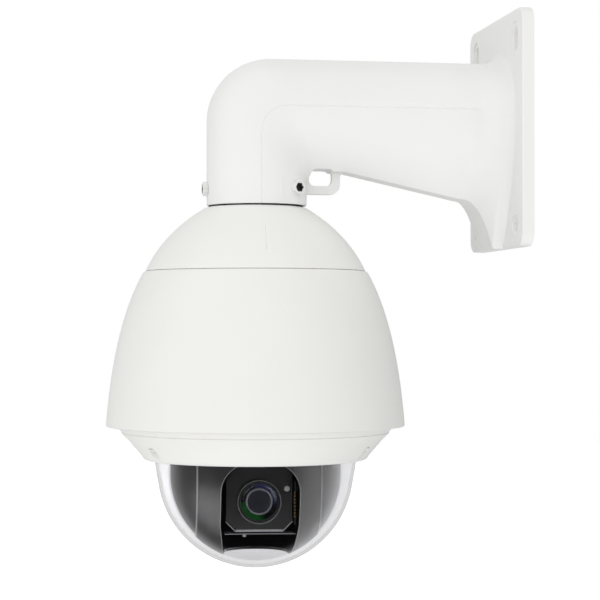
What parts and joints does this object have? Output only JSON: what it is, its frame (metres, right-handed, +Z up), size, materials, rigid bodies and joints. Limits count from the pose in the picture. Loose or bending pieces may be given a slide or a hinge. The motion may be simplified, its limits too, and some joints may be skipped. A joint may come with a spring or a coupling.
{
  "type": "ptz dome camera",
  "caption": "White outdoor pan-tilt-zoom dome camera hanging from a hollow cast wall arm, with a clear bubble over its motorised camera.",
  "frame": {"origin": "centre of the wall plate's back face, where it meets the wall", "axes": "+Z up, +X into the wall, so the arm reaches out along -X; -Y is the camera's parked side"},
  "size_m": [0.3061, 0.2232, 0.4135],
  "materials": {
    "arm_white": "satin powder coat",
    "housing_white": "fine-textured satin powder coat",
    "clear_bubble": "clear polished polycarbonate",
    "liner_black": "satin black moulding",
    "black_plastic": "matt moulding",
    "black_metal": "black coated sheet and castings",
    "rubber_seal": "matt",
    "stainless_steel": "machined",
    "cast_aluminium": "bare casting",
    "brass": "machined",
    "circuit_board": "solder mask",
    "lens_glass": "coated optical glass"
  },
  "bodies": {
    "housing": {"wall_arm": "arm_white", "neck_bolt_left": "stainless_steel", "neck_bolt_front": "stainless_steel", "neck_bolt_rear": "stainless_steel", "neck_adapter": "cast_aluminium", "adapter_nut": "brass", "neck_seal": "rubber_seal", "top_cap": "housing_white", "cap_seal": "rubber_seal", "sun_shield": "housing_white", "inner_housing": "cast_aluminium", "trim_ring": "housing_white", "ring_screw_1": "stainless_steel", "ring_screw_2": "stainless_steel", "ring_screw_3": "stainless_steel", "bubble": "clear_bubble", "bubble_seal": "rubber_seal", "bubble_retainer": "cast_aluminium", "chassis_plate": "cast_aluminium", "chassis_post_1": "brass", "chassis_post_2": "brass", "chassis_post_3": "brass", "power_board": "circuit_board", "main_board": "circuit_board", "pan_motor": "black_metal", "pan_belt": "rubber_seal", "pan_bearing_outer": "stainless_steel", "slip_ring_stator": "black_plastic", "fan_frame": "black_plastic", "heater_block": "cast_aluminium"},
    "pan_motor_pinion": {"pan_pinion": "brass"},
    "cooling_fan": {"fan_rotor": "black_plastic"},
    "pan_unit": {"pan_bearing_inner": "stainless_steel", "pan_shaft": "stainless_steel", "pan_pulley": "black_plastic", "slip_ring_rotor": "brass", "yoke": "black_metal", "liner_band": "liner_black", "liner_cheek_left": "liner_black", "liner_cheek_right": "liner_black", "tilt_bearing_left": "stainless_steel", "tilt_bearing_right": "stainless_steel", "tilt_motor": "black_metal", "tilt_belt": "rubber_seal"},
    "tilt_motor_pinion": {"tilt_pinion": "brass"},
    "tilt_unit": {"camera_cradle": "black_metal", "tilt_pulley": "black_plastic", "camera_block": "black_plastic", "lens_barrel": "black_plastic", "lens_ring": "black_metal", "front_lens": "lens_glass", "face_plate": "black_plastic", "face_bracket": "black_metal", "face_screw": "stainless_steel", "sensor_board": "circuit_board", "image_sensor": "black_plastic", "signal_board": "circuit_board"},
    "zoom_carriage": {"zoom_group": "lens_glass"},
    "focus_carriage": {"focus_group": "lens_glass"},
    "filter_carriage": {"ir_cut_filter": "lens_glass"}
  },
  "joints": [
    {"name": "pan", "type": "hinge", "parent": "housing", "child": "pan_unit", "pos_m": [-0.1945, 0, -0.206], "axis": [0, 0, 1], "continuous": true},
    {"name": "pan_motor_spin", "type": "hinge", "parent": "housing", "child": "pan_motor_pinion", "pos_m": [-0.1365, 0, -0.188], "axis": [0, 0, 1], "continuous": true},
    {"name": "fan_spin", "type": "hinge", "parent": "housing", "child": "cooling_fan", "pos_m": [-0.2545, 0, -0.172], "axis": [0, 0, 1], "continuous": true},
    {"name": "tilt", "type": "hinge", "parent": "pan_unit", "child": "tilt_unit", "pos_m": [-0.1945, 0, -0.2625], "axis": [0.9968, -0.0802, 0], "range_deg": [0, 90]},
    {"name": "tilt_motor_spin", "type": "hinge", "parent": "pan_unit", "child": "tilt_motor_pinion", "pos_m": [-0.1945, 0, -0.226], "axis": [0.9968, -0.0802, 0], "range_deg": [0, 270]},
    {"name": "zoom", "type": "slide", "parent": "tilt_unit", "child": "zoom_carriage", "axis": [0.0802, 0.9968, 0], "range_m": [0, 0.018]},
    {"name": "focus", "type": "slide", "parent": "tilt_unit", "child": "focus_carriage", "axis": [0.0802, 0.9968, 0], "range_m": [-0.002, 0.005]},
    {"name": "ir_filter_shift", "type": "slide", "parent": "tilt_unit", "child": "filter_carriage", "axis": [0.9968, -0.0802, 0], "range_m": [0, 0.0135]}
  ],
  "couplings": [
    {"joint": "pan_motor_spin", "follows": "pan", "ratio": 5},
    {"joint": "tilt_motor_spin", "follows": "tilt", "ratio": 3}
  ]
}
